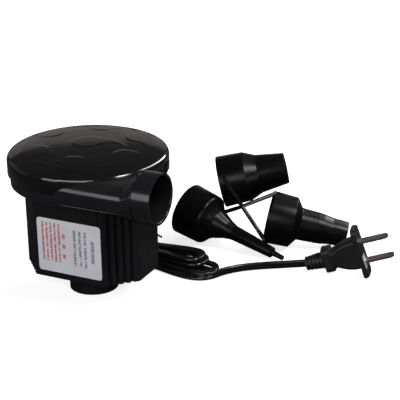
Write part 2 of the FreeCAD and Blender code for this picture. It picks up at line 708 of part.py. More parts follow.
shroud = pipe(impeller_r, impeller_eye_r, impeller_bottom_z, impeller_bottom_z + impeller_plate)
disc = cyl(impeller_r, impeller_disc_z, impeller_disc_z + impeller_plate)
hub = cyl(6.0, impeller_bottom_z + 1.0, impeller_disc_z)
blades = []
for i in range(impeller_blades):
    inner = V(impeller_eye_r + 0.6, 0, 0)
    out_angle = math.radians(-52)
    outer = V((impeller_r - 0.6) * math.cos(out_angle), (impeller_r - 0.6) * math.sin(out_angle), 0)
    mid_angle = math.radians(-20)
    middle_r = impeller_eye_r + 0.56 * (impeller_r - impeller_eye_r)
    middle = V(middle_r * math.cos(mid_angle), middle_r * math.sin(mid_angle), 0)
    line = Part.Arc(inner, middle, outer).toShape()
    blade = line.extrude(V(0, 0, impeller_disc_z - impeller_bottom_z + 0.2))
    blade = moved(blade, 0, 0, impeller_bottom_z + 0.4)
    blade = blade.makeOffsetShape(0.6, 0.01, fill=True)
    blades.append(turned(blade, 360.0 / impeller_blades * i))
impeller = join([shroud, disc, hub] + blades)
impeller = impeller.cut(cyl(shaft_r, 60, 90))
export("impeller", impeller)

nut = prism([(4.2 * math.cos(math.radians(a)), 4.2 * math.sin(math.radians(a)))
             for a in range(0, 360, 60)], impeller_disc_z + impeller_plate,
            impeller_disc_z + impeller_plate + 2.2)
nut = nut.cut(cyl(shaft_r, 60, 90))
export("impeller_nut", nut)

# ---------------------------------------------------------------- switch
bezel_x = -body_half_x - bezel_thickness
switch_inner_x = -body_half_x + switch_depth
switch = join([box(bezel_x, -body_half_x, -7.5, 7.5, switch_z - 10.5, switch_z + 10.5),
               box(-body_half_x - 0.2, switch_inner_x, -switch_half_y, switch_half_y,
                   switch_z - switch_half_z, switch_z + switch_half_z)])
well_half_y = 5.2
switch = switch.cut(box(bezel_x - 1, rocker_pivot_x + 3.4, -well_half_y, well_half_y, switch_z - 8.5, switch_z + 8.5))
pin_r = 1.0
pin_half = 5.8
switch = switch.cut(cyl_along(V(0, 1, 0), pin_r + running_gap, V(rocker_pivot_x, -pin_half - 0.2,
                                                                 switch_z), 2 * pin_half + 0.4))
export("switch_body", switch)

drum = cyl_along(V(0, 1, 0), rocker_r, V(rocker_pivot_x, -5.0, switch_z), 10.0)
keep = box(-60, rocker_pivot_x + 1.5, -6, 6, switch_z - 20, switch_z + 20)
rocker = drum.common(keep)
tilt = math.tan(math.radians(switch_throw / 2))
apex_x = rocker_pivot_x - rocker_rise
roof = [V(apex_x, -6, switch_z), V(apex_x - 20 * tilt, -6, switch_z + 20),
        V(-60, -6, switch_z + 20), V(-60, -6, switch_z - 20), V(apex_x - 20 * tilt, -6, switch_z - 20)]
roof_cut = Part.Face(Part.makePolygon(roof + [roof[0]])).extrude(V(0, 12, 0))
rocker = rocker.cut(roof_cut)
pins = cyl_along(V(0, 1, 0), pin_r, V(rocker_pivot_x, -pin_half, switch_z), 2 * pin_half)
rocker = join([rocker, pins])
rocker = turned(rocker, switch_throw / 2, V(0, 1, 0), V(rocker_pivot_x, 0, switch_z))
export("rocker", rocker)

terminals = [box(switch_inner_x, switch_inner_x + terminal_length, -2.4, 2.4,
                 switch_z + side * terminal_pitch / 2 - 0.4,
                 switch_z + side * terminal_pitch / 2 + 0.4) for side in (-1, 1)]
export("switch_terminals", Part.makeCompound(terminals))

# ---------------------------------------------------------------- cord
gland_flange = cyl_along(V(0, 1, 0), 6.2, V(gland_x, body_half_y, gland_z), 2.0)
gland_neck = cyl_along(V(0, 1, 0), gland_neck_r, V(gland_x, inside_half_y - 1.5, gland_z), 4.0)
relief = Part.makeCone(5.0, cord_d / 2 + 0.7, relief_length, V(gland_x, body_half_y + 1.9, gland_z),
                       V(0, 1, 0))
gland = join([gland_flange, gland_neck, relief])
for i in range(4):
    y = body_half_y + 6.0 + i * 4.5
    ring_cut = cyl_along(V(0, 1, 0), 8.0, V(gland_x, y, gland_z), 1.6)
    ring_cut = ring_cut.cut(cyl_along(V(0, 1, 0), cord_d / 2 + 0.5, V(gland_x, y - 1, gland_z), 4))
    gland = gland.cut(ring_cut)
gland_inner_y = inside_half_y - 1.5
export("cord_gland", gland)

clamp = box(gland_x - 3.8, gland_x + 3.8, gland_inner_y - 4.0, gland_inner_y, body_inside_z,
            gland_z + 3.0)
export("cord_clamp", clamp)

tail_start_y = body_half_y + 1.9 + relief_length
loop_far_x = gland_x - 35.0
tail_route = [V(gland_x, tail_start_y, gland_z), V(gland_x, 67.0, 21.0),
              V(gland_x - 10.3, 77.3, 15.5), V(loop_far_x + 10.3, 77.3, 11.0),
              V(loop_far_x, 67.0, 8.2), V(loop_far_x, 55.0, 7.4)]
export("cord_tail", cord_tube(tail_route, cord_d / 2))

hank_outline = [(-49.0, 44.0), (-44.0, 37.0), (-20.0, 36.4), (10.0, 38.6), (24.0, 38.6),
                (37.0, 31.4), (54.0, 27.6), (62.0, 32.0), (66.0, 40.0), (64.5, 47.0),
                (57.0, 53.5), (40.0, 56.0), (10.0, 55.4), (-30.0, 55.4), (-44.0, 55.4),
                (-49.0, 52.0)]
hank = prism(hank_outline, hank_bottom_z, hank_top_z)
edges = [e for e in hank.Edges if abs(e.Vertexes[0].Z - e.Vertexes[-1].Z) < 0.1]
hank = hank.makeFillet(2.4, edges)
export("cord_hank", hank)

tie_x = 10.0
tie_half = 1.6
tie = box(tie_x - tie_half, tie_x + tie_half, 37.9, 56.1, 0.0, hank_top_z + 0.7)
tie = tie.cut(box(tie_x - 5, tie_x + 5, 38.6 - 0.15, 55.5, hank_bottom_z, hank_top_z))
twist_r = 0.6
twist_route = [V(tie_x, 55.8, 9.5), V(tie_x + 0.8, 58.5, 12.2), V(tie_x + 1.3, 66.5, 6.6)]
twist = [Part.makeSphere(twist_r, twist_route[1])]
for start, end in zip(twist_route[:-1], twist_route[1:]):
    twist.append(cyl_along((end - start).normalize(), twist_r, start, (end - start).Length))
tie = join([tie] + twist).cut(hank)
export("twist_tie", tie)

lead_route = [V(60.0, 38.5, 2.7), V(72.0, 51.0, 2.65), V(83.0, 60.6, 2.65), V(96.5, 67.0, 3.0)]

# ---------------------------------------------------------------- plug
plug_turn = FreeCAD.Rotation(plug_heading, -plug_pitch, 0)
plug_axis = plug_turn.multVec(V(1, 0, 0))
tilt_rad = math.radians(plug_pitch)
flange_z = flange_half_height * math.cos(tilt_rad) + flange_thickness * math.sin(tilt_rad)
flange_front = V(142.6, 77.9, flange_z)
plug_place = FreeCAD.Placement(flange_front, plug_turn)


def rounded(x, half_y, half_z, corner):
    """Return an upright rounded rectangle across the plug's axis."""
    c = corner * (1 - math.sqrt(0.5))
    edges = []
    for sy, sz in ((1, 1), (-1, 1), (-1, -1), (1, -1)):
        side = V(x, sy * half_y, sz * (half_z - corner))
        mid = V(x, sy * (half_y - c), sz * (half_z - c))
        end = V(x, sy * (half_y - corner), sz * half_z)
        points = (side, mid, end) if sy * sz > 0 else (end, mid, side)
        if edges:
            edges.append(Part.LineSegment(last, points[0]).toShape())
        edges.append(Part.Arc(*points).toShape())
        last = points[2]
    edges.append(Part.LineSegment(last, V(x, half_y, half_z - corner)).toShape())
    return Part.Wire(edges)


def rounded_block(x0, x1, half_y, half_z, corner):
    """Return a straight block of rounded section between two stations."""
    return Part.Face(rounded(x0, half_y, half_z, corner)).extrude(V(x1 - x0, 0, 0))


flange_back_x = -flange_thickness
plug_back_x = -19.8
collar_back_x = -24.4
relief_back_x = -36.0
face_thickness = 0.8
plug_main = Part.makeLoft([rounded(plug_back_x, 4.9, 5.6, 2.6), rounded(-15.0, 5.2, 7.0, 2.6),
                           rounded(-11.0, 5.5, 8.6, 2.6), rounded(-6.0, 5.7, 9.5, 2.6),
                           rounded(flange_back_x, 5.8, 9.8, 2.6)], True, False)
plug_collar = rounded_block(collar_back_x, plug_back_x + 0.4, 5.2, 8.0, 3.4)
plug_flange = rounded_block(flange_back_x - 0.4, -face_thickness, flange_half_width,
                            flange_half_height, flange_corner)
relief_core = Part.makeCone(3.4, 4.4, collar_back_x - relief_back_x + 0.4,
                            V(relief_back_x, 0, 0), V(1, 0, 0))
rings = []
ring_count = 5
for i in range(ring_count):
    x = relief_back_x + i * 2.4
    radius = 4.3 + 0.25 * i
    rings.append(Part.makeCylinder(radius, 1.4, V(x, 0, 0), V(1, 0, 0)))
plug_body = join([plug_main, plug_collar, plug_flange, relief_core] + rings)
plug_face = rounded_block(-face_thickness, 0.0, flange_half_width - 0.4,
                          flange_half_height - 0.4, flange_corner - 0.4)
blades_shape = []
for s in (-1, 1):
    z = s * blade_spacing / 2
    blade = box(-9.0, blade_length, -blade_width / 2, blade_width / 2, z - blade_thickness / 2,
                z + blade_thickness / 2)
    tip_edges = [e for e in blade.Edges if abs(e.Vertexes[0].X - blade_length) < 0.01
                 and abs(e.Vertexes[-1].X - blade_length) < 0.01
                 and abs(e.Vertexes[0].Z - e.Vertexes[-1].Z) > 0.5]
    blade = blade.makeFillet(2.6, tip_edges)
    blades_shape.append(blade)
plug_blades = Part.makeCompound(blades_shape)
plug_body = plug_body.cut(blades_shape)
plug_face = plug_face.cut(blades_shape)
for shape in (plug_body, plug_face, plug_blades):
    shape.Placement = plug_place
export("plug_body", plug_body)
export("plug_face", plug_face)
export("plug_blades", plug_blades)

lead_end = plug_place.multVec(V(relief_back_x, 0, 0))
lead_route.append(lead_end)
export("cord_lead", cord_tube(lead_route, cord_d / 2))


# ---------------------------------------------------------------- inner leads
def lead(points, radius):
    """Return an insulated wire along a route inside the housing."""
    return cord_tube(points, radius)


clamp_face_y = gland_inner_y - 4.0
lead_r = 0.9
terminal_end = switch_inner_x + terminal_length / 2
upper_lug_z = switch_z + terminal_pitch / 2 + 0.4 + lead_r
lower_lug_z = switch_z - terminal_pitch / 2 - 0.4 - lead_r
leads = [
    lead([V(gland_x - 1.6, clamp_face_y - 0.25, 23.8), V(-12.2, 15.2, 24.6), V(-17.6, 10.4, 27.6),
          V(-20.8, 6.6, 31.4), V(terminal_end, 3.2, upper_lug_z)], lead_r),
    lead([V(terminal_end, -1.0, lower_lug_z), V(-20.6, -8.0, 20.4),
          V(-14.0, -13.5, 22.5), V(-11.0, -9.0, 27.0), V(-11.0, -holder_half - 0.25, 28.0)], lead_r),
    lead([V(gland_x + 1.6, clamp_face_y - 0.1, 23.8), V(-7.9, 15.2, 24.4), V(-10.2, 11.8, 26.6),
          V(-11.6, 10.4, stator_bottom_z - coil_reach - 0.4)], lead_r),
]
export("internal_leads", Part.makeCompound(leads))


# ---------------------------------------------------------------- nozzles
def nozzle(stations, start, heading, pitch):
    """Return a hollow nozzle and its filled outer shape from (s, r) stations."""
    outer = [(s, r) for s, r in stations]
    inner = []
    for i, (s, r) in enumerate(stations):
        inside = 0 < i < len(stations) - 1
        shift = nozzle_wall * 0.3 if inside and r > 6 else 0.0
        inner.append((s + shift, max(r - nozzle_wall, r * 0.5)))
    full = [(0.0, 0.0)] + outer + [(stations[-1][0], 0.0)]
    filled = revolved(full, start, heading, pitch)
    shell_profile = outer + inner[::-1]
    return revolved(shell_profile, start, heading, pitch), filled


fine_stations = [(0.0, 16.8), (17.2, 16.2), (18.4, 15.7), (19.5, 14.3), (21.3, 12.2),
                 (24.5, 9.6), (28.3, 8.0), (32.5, 6.1), (37.5, 4.75), (66.6, 3.5),
                 (67.1, 1.9), (74.8, 1.5)]
medium_stations = [(0.0, 16.9), (15.8, 16.2), (16.2, 16.0), (20.2, 10.4), (31.6, 9.9),
                   (35.0, 9.6), (38.0, 9.1), (41.0, 8.6), (50.8, 8.15)]
wide_stations = [(0.0, 16.85), (17.4, 16.15), (19.0, 15.4), (25.3, 12.6), (43.6, 10.0)]
fine_place = (V(19.4, 87.7, 19.82), -8.8, -13.65)
medium_place = (V(72.4, 97.4, 19.3), 20.3, -12.8)
wide_place = (V(33.65, 109.5, 32.7), 23.7, 12.9)
nozzle_fine, fine_full = nozzle(fine_stations, *fine_place)
nozzle_medium, medium_full = nozzle(medium_stations, *medium_place)
nozzle_wide, wide_full = nozzle(wide_stations, *wide_place)
for name, one in (("fine", nozzle_fine), ("medium", nozzle_medium), ("wide", nozzle_wide)):
    bounds = one.optimalBoundingBox()
    print(name, "lowest", round(bounds.ZMin, 3))
print("clash fine-medium", round(fine_full.common(medium_full).Volume, 3))
print("clash fine-wide", round(fine_full.common(wide_full).Volume, 3))
print("clash medium-wide", round(medium_full.common(wide_full).Volume, 3))
export("nozzle_fine", nozzle_fine)
export("nozzle_medium", nozzle_medium)
export("nozzle_wide", nozzle_wide)

# two crossed tethers, moulded with the nozzles, that keep the three together
tether_r = 1.05
cross_point = V(56.3, 92.5, 25.4)
tether_ends = [V(41.2, 96.7, 41.4), V(75.2, 83.6, 9.6), V(44.1, 93.6, 19.3), V(76.5, 97.2, 35.6)]
rods = [Part.makeSphere(tether_r, cross_point)]
for end in tether_ends:
    reach = end - cross_point
    rods.append(cyl_along(reach, tether_r, cross_point, reach.Length + 1.2))
tether = join(rods).cut([fine_full, medium_full, wide_full])
export("nozzle_tether", Part.makeCompound(tether.Solids))
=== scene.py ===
"""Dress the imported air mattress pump: finishes, cord, nozzles, plug and studio."""
import logging
import math
from dataclasses import dataclass, field
from enum import Enum
from typing import Any, Optional, Sequence, Union

import bmesh
import bpy
import numpy as np
from mathutils import Matrix, Vector


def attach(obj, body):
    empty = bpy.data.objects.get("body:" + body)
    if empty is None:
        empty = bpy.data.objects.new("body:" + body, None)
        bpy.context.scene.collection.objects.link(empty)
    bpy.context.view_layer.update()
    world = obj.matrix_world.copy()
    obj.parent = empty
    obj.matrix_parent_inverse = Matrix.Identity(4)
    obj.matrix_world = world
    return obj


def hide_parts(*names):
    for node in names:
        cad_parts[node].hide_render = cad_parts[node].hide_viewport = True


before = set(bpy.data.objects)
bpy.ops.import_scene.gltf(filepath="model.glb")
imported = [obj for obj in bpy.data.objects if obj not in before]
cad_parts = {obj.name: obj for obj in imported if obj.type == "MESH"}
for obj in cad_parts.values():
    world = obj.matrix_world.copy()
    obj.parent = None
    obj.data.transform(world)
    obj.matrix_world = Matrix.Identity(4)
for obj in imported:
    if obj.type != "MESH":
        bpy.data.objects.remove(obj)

logging.basicConfig(level=logging.INFO, format="%(message)s")
log = logging.getLogger("pump")

MM: float = 0.001
Number = Union[int, float]
Point = tuple[float, float, float]


def mm(x: Number, y: Number, z: Number) -> Vector:
    """Return a point given in millimetres as metres."""
    return Vector((x * MM, y * MM, z * MM))


# ------------------------------------------------------------------ shader maths
class Signal:
    """A shader socket that takes part in Python arithmetic."""

    def __init__(self, graph: "Graph", socket: bpy.types.NodeSocket) -> None:
        """Keep the graph that owns the socket and the socket itself."""
        self.graph = graph
        self.socket = socket

    def _maths(self, operation: str, *values: Any) -> "Signal":
        """Add one Math node over the given values."""
        return self.graph.add("ShaderNodeMath", {"operation": operation}, dict(enumerate(values)))

    def __add__(self, other: Any) -> "Signal":
        """Return self plus other."""
        return self._maths("ADD", self, other)

    __radd__ = __add__

    def __sub__(self, other: Any) -> "Signal":
        """Return self minus other."""
        return self._maths("SUBTRACT", self, other)

    def __rsub__(self, other: Any) -> "Signal":
        """Return other minus self."""
        return self._maths("SUBTRACT", other, self)

    def __mul__(self, other: Any) -> "Signal":
        """Return self times other."""
        return self._maths("MULTIPLY", self, other)

    __rmul__ = __mul__

    def sine(self) -> "Signal":
        """Return the sine of the value."""
        return self._maths("SINE", self)

    def cosine(self) -> "Signal":
        """Return the cosine of the value."""
        return self._maths("COSINE", self)

    def highest(self, other: Any) -> "Signal":
        """Return the higher of two values."""
        return self._maths("MAXIMUM", self, other)

    def ramp(self, start: Number, end: Number, low: Number = 0.0, high: Number = 1.0) -> "Signal":
        """Return a smooth step from low to high while the value goes from start to end."""
        return self.graph.add("ShaderNodeMapRange", {"interpolation_type": "SMOOTHSTEP"},
                              {"Value": self, "From Min": start, "From Max": end,
                               "To Min": low, "To Max": high})


def between(value: Signal, low: Number, high: Number, soft: Number) -> Signal:
    """Return 1 where a value lies between two limits, with soft edges."""
    return value.ramp(low - soft, low + soft) * value.ramp(high - soft, high + soft, 1.0, 0.0)


class Graph:
    """The node tree of one material and the one way that nodes enter it."""

    def __init__(self, name: str) -> None:
        """Start an empty material of this name with its output and shader."""
        self.material = bpy.data.materials.new(name)
        self.material.use_nodes = True
        self.tree = self.material.node_tree
        self.tree.nodes.clear()
        self.output = self.tree.nodes.new("ShaderNodeOutputMaterial")
        self.shader = self.tree.nodes.new("ShaderNodeBsdfPrincipled")
        self.tree.links.new(self.shader.outputs[0], self.output.inputs[0])

    def add(self, kind: str, settings: Optional[dict[str, Any]] = None,
            values: Optional[dict[Any, Any]] = None, output: Union[int, str] = 0) -> Signal:
        """Add a node and return one of its outputs.

        Args:
            kind: the node's type name.
            settings: properties of the node, which are set first.
            values: numbers, colours or signals for its sockets, by index or name.
            output: the output wanted.

        Returns:
            The output as a signal.
        """
        node = self.tree.nodes.new(kind)
        for key, value in (settings or {}).items():
            setattr(node, key, value)
        for key, value in (values or {}).items():
            self.put(node.inputs[key], value)
        return Signal(self, node.outputs[output])

    def put(self, socket: bpy.types.NodeSocket, value: Any) -> None:
        """Link a signal to a socket, or set the socket's own value."""
        if isinstance(value, Signal):
            self.tree.links.new(value.socket, socket)
        else:
            socket.default_value = value

    def set(self, name: str, value: Any) -> None:
        """Give one socket of the main shader a value or a signal."""
        self.put(self.shader.inputs[name], value)

    def place(self) -> Signal:
        """Return the object coordinates in metres."""
        return self.add("ShaderNodeTexCoord", output="Object")

    def noise(self, size: float, detail: float = 2.0,
              stretch: Point = (1.0, 1.0, 1.0)) -> Signal:
        """Return noise whose features measure about size metres."""
        scaled = self.add("ShaderNodeMapping", None,
                          {"Vector": self.place(), "Scale": stretch})
        return self.add("ShaderNodeTexNoise", None,
                        {"Vector": scaled, "Scale": 1.0 / size, "Detail": detail,
                         "Roughness": 0.55})

    def blend(self, factor: Any, first: Any, second: Any) -> Signal:
        """Return a colour between two colours."""
        return self.add("ShaderNodeMix", {"data_type": "RGBA"},
                        {0: factor, 6: first, 7: second}, output=2)

    def axes(self, where: Signal) -> tuple[Signal, Signal, Signal]:
        """Return the x, y and z of a vector."""
        first = self.add("ShaderNodeSeparateXYZ", None, {0: where})
        node = first.socket.node
        return first, Signal(self, node.outputs[1]), Signal(self, node.outputs[2])


def srgb(code: str) -> tuple[float, float, float, float]:
    """Return the linear colour of a hex code."""
    channels = [int(code[i:i + 2], 16) / 255.0 for i in (1, 3, 5)]
    linear = [c / 12.92 if c <= 0.04045 else ((c + 0.055) / 1.055) ** 2.4 for c in channels]
    return (linear[0], linear[1], linear[2], 1.0)


# ------------------------------------------------------------------ finishes
@dataclass(frozen=True)
class MouldedPlastic:
    """Injection moulded plastic with a spark-eroded grain and faint handling marks."""

    name: str
    colour: str
    tint: str
    roughness: float
    spread: float
    grain: float
    depth: float
    specular: float = 0.5
    coat: float = 0.0

    def build(self) -> bpy.types.Material:
        """Return the material."""
        g = Graph(self.name)
        broad = g.noise(0.035, 3.0)
        fine = g.noise(self.grain, 2.0)
        smear = g.noise(0.012, 3.0, stretch=(1.0, 1.0, 0.25))
        g.set("Base Color", g.blend(broad.ramp(0.35, 0.7), srgb(self.colour), srgb(self.tint)))
        rough = smear.ramp(0.3, 0.75, self.roughness - self.spread, self.roughness + self.spread)
        g.set("Roughness", rough + (fine - 0.5) * (self.spread * 0.6))
        g.set("Specular IOR Level", self.specular)
        g.set("Coat Weight", self.coat)
        g.set("Coat Roughness", 0.06)
        wave = g.noise(0.02, 1.0)
        height = fine * self.depth + wave * (self.depth * 0.6)
        g.set("Normal", g.add("ShaderNodeBump", None,
                              {"Height": height, "Strength": 0.5, "Distance": 0.001}))
        return g.material


@dataclass(frozen=True)
class GlossLid:
    """Polished cap with faint scuffs and a slight waviness."""

    name: str
    colour: str
    tint: str

    def build(self) -> bpy.types.Material:
        """Return the material."""
        g = Graph(self.name)
        broad = g.noise(0.04, 3.0)
        scuff = g.noise(0.006, 4.0, stretch=(1.0, 0.2, 1.0))
        g.set("Base Color", g.blend(broad.ramp(0.35, 0.7), srgb(self.colour), srgb(self.tint)))
        g.set("Roughness", scuff.ramp(0.35, 0.8, 0.10, 0.18))
        g.set("Coat Weight", 0.2)
        g.set("Coat Roughness", 0.07)
        wave = g.noise(0.03, 1.0)
        ripple = g.noise(0.0007, 2.0)
        g.set("Normal", g.add("ShaderNodeBump", None,
                              {"Height": wave * 0.2 + ripple * 0.006, "Strength": 0.6,
                               "Distance": 0.001}))
        return g.material


@dataclass(frozen=True)
class BrushedMetal:
    """Metal with fine lines along one direction and dull patches."""

    name: str
    colour: str
    dull: str
    roughness: float
    lines: Point = (0.06, 1.0, 1.0)

    def build(self) -> bpy.types.Material:
        """Return the material."""
        g = Graph(self.name)
        line = g.noise(0.0006, 3.0, stretch=self.lines)
        patch = g.noise(0.009, 3.0)
        g.set("Base Color", g.blend(patch.ramp(0.4, 0.75), srgb(self.colour), srgb(self.dull)))
        g.set("Metallic", 1.0)
        g.set("Roughness", line.ramp(0.3, 0.7, self.roughness - 0.08, self.roughness + 0.12)
              + patch * 0.08)
        g.set("Normal", g.add("ShaderNodeBump", None,
                              {"Height": line, "Strength": 0.12, "Distance": 0.0002}))
        return g.material


@dataclass(frozen=True)
class StackedWire:
    """Enamelled wire or stacked sheet, shown as close fine bands."""

    name: str
    colour: str
    gap: str
    pitch: float
    roughness: float
    metallic: float = 1.0

    def build(self) -> bpy.types.Material:
        """Return the material."""
        g = Graph(self.name)
        _, _, z = g.axes(g.place())
        wobble = g.noise(0.004, 2.0)
        band = ((z * (2.0 * math.pi / self.pitch)) + wobble * 1.5).sine() * 0.5 + 0.5
        g.set("Base Color", g.blend(band.ramp(0.05, 0.5), srgb(self.gap), srgb(self.colour)))
        g.set("Metallic", self.metallic)
        g.set("Roughness", band.ramp(0.0, 1.0, self.roughness + 0.15, self.roughness))
        g.set("Normal", g.add("ShaderNodeBump", None,
                              {"Height": band, "Strength": 0.5, "Distance": 0.0003}))
        return g.material


@dataclass(frozen=True)
class PrintedFilm:
    """Silver-grey film with columns of small broken marks in two colours."""

    name: str
    ground: str
    ink: str
    accent: str
    left: float
    right: float
    bottom: float
    top: float

    def marks(self, u: Signal, v: Signal, broken: Signal, box: tuple[float, float, float, float],
              count: int, thick: float) -> Signal:
        """Return upright columns of broken marks in a block of the film.

        Args:
            u: share of the film's width.
            v: share of the film's height.
            broken: where a column is printed along its length, from 0 to 1.
            box: left, right, low and high edges of the block as shares.
            count: how many columns stand side by side.
            thick: from -1 for wide columns to 1 for thin ones.

        Returns:
            The printed share.
        """
        left, right, low, high = box
        soft = 0.004
        zone = between(u, left, right, soft) * between(v, low, high, soft)
        wave = ((u - left) * (math.tau * count / (right - left)) - math.pi).cosine()
        return zone * wave.ramp(thick, thick + 0.35) * broken

    def build(self) -> bpy.types.Material:
        """Return the material."""
        g = Graph(self.name)
        x, _, z = g.axes(g.place())
        shade = g.noise(0.02, 2.0)
        fibre = g.noise(0.0004, 3.0, stretch=(0.1, 1.0, 1.0))
        colour = g.blend(shade.ramp(0.35, 0.7), srgb(self.ground), srgb("#DAD9DF"))
        u = (x - self.left) * (1.0 / (self.right - self.left))
        v = (z - self.bottom) * (1.0 / (self.top - self.bottom))
        letters = g.noise(0.0009, 1.0, stretch=(0.5, 0.1, 1.0)).ramp(0.38, 0.46)
        words = g.noise(0.0035, 1.0, stretch=(0.8, 0.1, 1.0)).ramp(0.30, 0.38)
        broken = letters * words
        red = self.marks(u, v, broken, (0.06, 0.38, 0.20, 0.93), 5, -0.1)
        steps = ((v - 0.24) * (math.tau * 3 / 0.56) - math.pi).cosine().ramp(0.1, 0.3)
        signs = self.marks(u, v, steps, (0.38, 0.46, 0.24, 0.80), 1, -0.4)
        grey = self.marks(u, v, broken, (0.55, 0.80, 0.18, 0.86), 3, -0.05)
        maker = self.marks(u, v, letters, (0.82, 0.92, 0.30, 0.72), 1, -0.3)
        ink = grey.highest(maker * 0.9)
        colour = g.blend(ink * 0.7, colour, srgb(self.ink))
        colour = g.blend(red.highest(signs * 0.9) * 0.8, colour, srgb(self.accent))
        g.set("Base Color", colour)
        g.set("Metallic", 0.0)
        g.set("Roughness", fibre.ramp(0.3, 0.7, 0.34, 0.46) + ink * 0.1)
        g.set("Normal", g.add("ShaderNodeBump", None,
                              {"Height": fibre + ink * 0.3, "Strength": 0.08,
                               "Distance": 0.0003}))
        return g.material


@dataclass(frozen=True)
class InsertPlate:
    """Black plate with a pale moulded insert near its lower blade."""

    name: str
    dark: str
    pale: str
    centre: Point
    upright: Point
    across: Point
    reach: tuple[float, float, float, float]

    def build(self) -> bpy.types.Material:
        """Return the material."""
        g = Graph(self.name)
        x, y, z = g.axes(g.place())
        gap = [x - self.centre[0] * MM, y - self.centre[1] * MM, z - self.centre[2] * MM]
        high, wide = (gap[0] * way[0] + gap[1] * way[1] + gap[2] * way[2]
                      for way in (self.upright, self.across))
        low, top, left, right = (v * MM for v in self.reach)
        soft = 0.0004
        zone = between(high, low, top, soft) * between(wide, left, right, soft)
        patch = g.noise(0.004, 2.0)
        pale = g.blend(patch.ramp(0.3, 0.7), srgb(self.pale), srgb("#B9B6B2"))
        g.set("Base Color", g.blend(zone, srgb(self.dark), pale))
        g.set("Roughness", patch.ramp(0.3, 0.7, 0.4, 0.5))
        g.set("Specular IOR Level", 0.35)
        g.set("Normal", g.add("ShaderNodeBump", None,
                              {"Height": patch + zone * 2.0, "Strength": 0.1,
                               "Distance": 0.0004}))
        return g.material


@dataclass(frozen=True)
class StudioWhite:
    """White floor that keeps soft shadows, shows white to the camera and stays dim in gloss."""

    name: str
    level: float = 0.86
    lift: float = 0.72
    gloss: float = 0.05

    def build(self) -> bpy.types.Material:
        """Return the material."""
        g = Graph(self.name)
        cloud = g.noise(0.6, 2.0)
        tone = g.blend(cloud.ramp(0.3, 0.7), (self.level, self.level, self.level, 1.0),
                       (self.level * 0.99, self.level * 0.99, self.level * 0.995, 1.0))
        ray = g.add("ShaderNodeLightPath", output="Is Camera Ray")
        dim = (self.gloss, self.gloss, self.gloss, 1.0)
        g.set("Base Color", g.blend(ray, dim, tone))
        g.set("Roughness", 0.9)
        g.set("Specular IOR Level", 0.1)
        glow = g.add("ShaderNodeEmission", None,
                     {"Color": (1.0, 1.0, 1.0, 1.0), "Strength": self.lift})
        dark = g.add("ShaderNodeEmission", None, {"Color": (0.0, 0.0, 0.0, 1.0), "Strength": 0.0})
        extra = g.add("ShaderNodeMixShader", None, {0: ray, 1: dark, 2: glow})
        total = g.add("ShaderNodeAddShader", None,
                      {0: Signal(g, g.shader.outputs[0]), 1: extra})
        g.put(g.output.inputs[0], total)
        return g.material


class Finish(Enum):
    """The finishes that the pump's pieces choose from."""

    LID = GlossLid("gloss_black_cap", "#0D0C0C", "#121010")
    CASING = MouldedPlastic("semi_gloss_black", "#18181A", "#1D1C1E", 0.17, 0.04, 0.0009, 0.03,
                            0.4, 0.08)
    BODY = MouldedPlastic("satin_black", "#111113", "#161518", 0.34, 0.06, 0.0007, 0.08, 0.4)
    NOZZLE = MouldedPlastic("matt_black", "#090909", "#0C0B0C", 0.29, 0.04, 0.0006, 0.04, 0.16)
    TETHER = MouldedPlastic("tether_black", "#0E0E0F", "#131314", 0.22, 0.04, 0.0006, 0.02,
                            0.7, 0.4)
    CORD = MouldedPlastic("black_cord", "#0F0F10", "#151516", 0.24, 0.06, 0.0012, 0.10, 0.5)
    PLUG = MouldedPlastic("black_plug", "#19191B", "#1E1E20", 0.46, 0.06, 0.0007, 0.12, 0.35)
    PALE = MouldedPlastic("pale_plug_face", "#C9C7C4", "#BDBBB8", 0.45, 0.05, 0.0008, 0.10)
    INSERT = InsertPlate("plug_face_insert", "#18181A", "#C9C7C4", (142.6, 77.9, 16.0),
                         (-0.319, -0.065, 0.946), (-0.199, 0.980, 0.0), (-10.0, -1.5, -6.0, 1.0))
    NYLON = MouldedPlastic("white_nylon", "#D6D2C6", "#C9C4B6", 0.5, 0.06, 0.0009, 0.15)
    RUBBER = MouldedPlastic("soft_rubber", "#1A1A1A", "#222222", 0.72, 0.06, 0.0006, 0.2)
    CARBON = MouldedPlastic("pressed_carbon", "#1E1E20", "#2A2A2D", 0.6, 0.08, 0.0004, 0.25)
    INSULATION = MouldedPlastic("red_insulation", "#8A1F1A", "#761914", 0.45, 0.06, 0.0008, 0.1)
    BLADE = BrushedMetal("blade_plating", "#9C8F88", "#7C6C63", 0.30, (1.0, 0.06, 1.0))
    ZINC = BrushedMetal("zinc_plating", "#B5B7BA", "#909296", 0.32)
    COPPER = BrushedMetal("bare_copper", "#B87545", "#8E5630", 0.34, (1.0, 1.0, 0.1))
    LAMINATION = StackedWire("lamination_steel", "#77787B", "#3B3B3E", 0.0005, 0.42)
    WINDING = StackedWire("copper_winding", "#A8592E", "#5A2813", 0.0006, 0.32)
    LABEL = PrintedFilm("printed_film", "#E4E3E9", "#55535B", "#C42A32",
                        -0.0199, 0.0223, 0.0186, 0.0519)
    FLOOR = StudioWhite("studio_white")

    def material(self) -> bpy.types.Material:
        """Return this finish's material, built once."""
        found = bpy.data.materials.get(self.value.name)
        return found or self.value.build()


